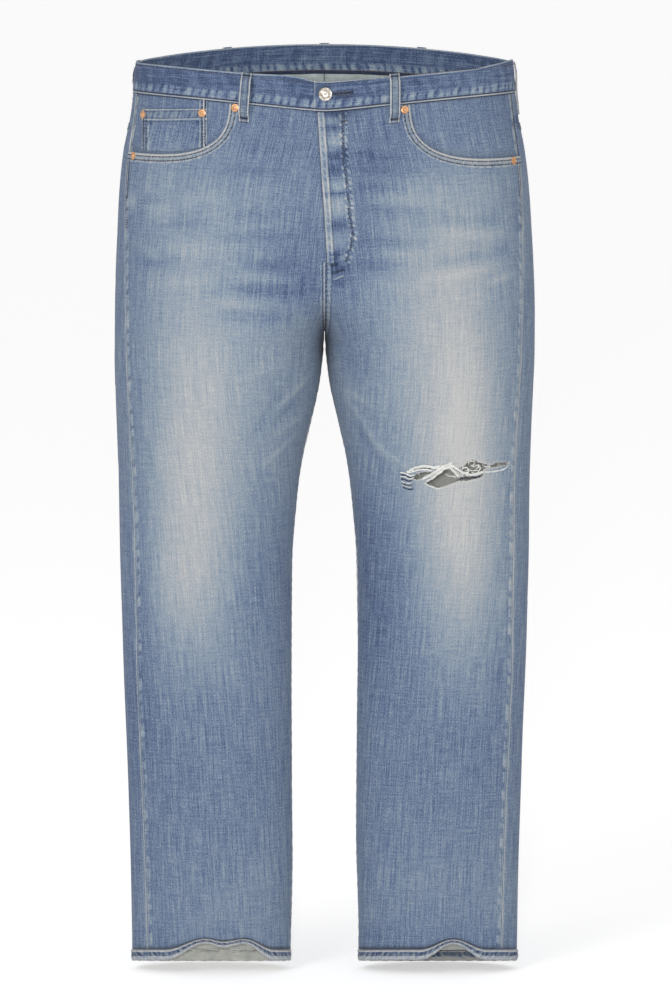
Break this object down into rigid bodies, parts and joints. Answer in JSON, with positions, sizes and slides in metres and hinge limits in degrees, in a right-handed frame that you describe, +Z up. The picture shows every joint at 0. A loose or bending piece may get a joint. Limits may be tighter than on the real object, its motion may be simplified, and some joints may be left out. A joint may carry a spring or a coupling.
{
  "type": "ripped jeans",
  "caption": "Straight-leg five-pocket denim jeans with a button fly, worn pale on the thighs and torn across one knee, standing open and filled out as if worn.",
  "frame": {"origin": "middle of the waist, halfway up the waistband at the sides, where the wearer holds the jeans up", "axes": "+Z up the body from hems to waist, -Y out of the front, +X towards the wearer's left"},
  "size_m": [0.544, 0.2745, 1.2025],
  "materials": {
    "denim": "worn blue denim twill, faded pale on the thighs, matt",
    "denim_dark": "less worn, darker blue denim twill of the waistband, matt",
    "denim_pale": "pale worn denim twill of the belt loops, matt",
    "nickel": "worn nickel-plated, softly polished",
    "copper": "copper-plated, slightly dulled"
  },
  "bodies": {
    "root": {"back_left": "denim", "back_pocket_left": "denim", "back_pocket_right": "denim", "back_right": "denim", "belt_loop_back_centre": "denim_pale", "belt_loop_back_left": "denim_pale", "belt_loop_back_right": "denim_pale", "belt_loop_front_left": "denim_pale", "belt_loop_front_right": "denim_pale", "belt_loop_side_left": "denim_pale", "belt_loop_side_right": "denim_pale", "button": "nickel", "coin_pocket": "denim", "fly_facing": "denim", "front_left": "denim", "front_right": "denim", "hem_left": "denim", "hem_right": "denim", "pocket_facing_left": "denim", "pocket_facing_right": "denim", "rivet_coin_inner": "copper", "rivet_coin_outer": "copper", "rivet_pocket_left_inner": "copper", "rivet_pocket_left_outer": "copper", "rivet_pocket_right_inner": "copper", "rivet_pocket_right_outer": "copper", "waistband": "denim_dark", "yoke_left": "denim", "yoke_right": "denim"}
  },
  "joints": []
}
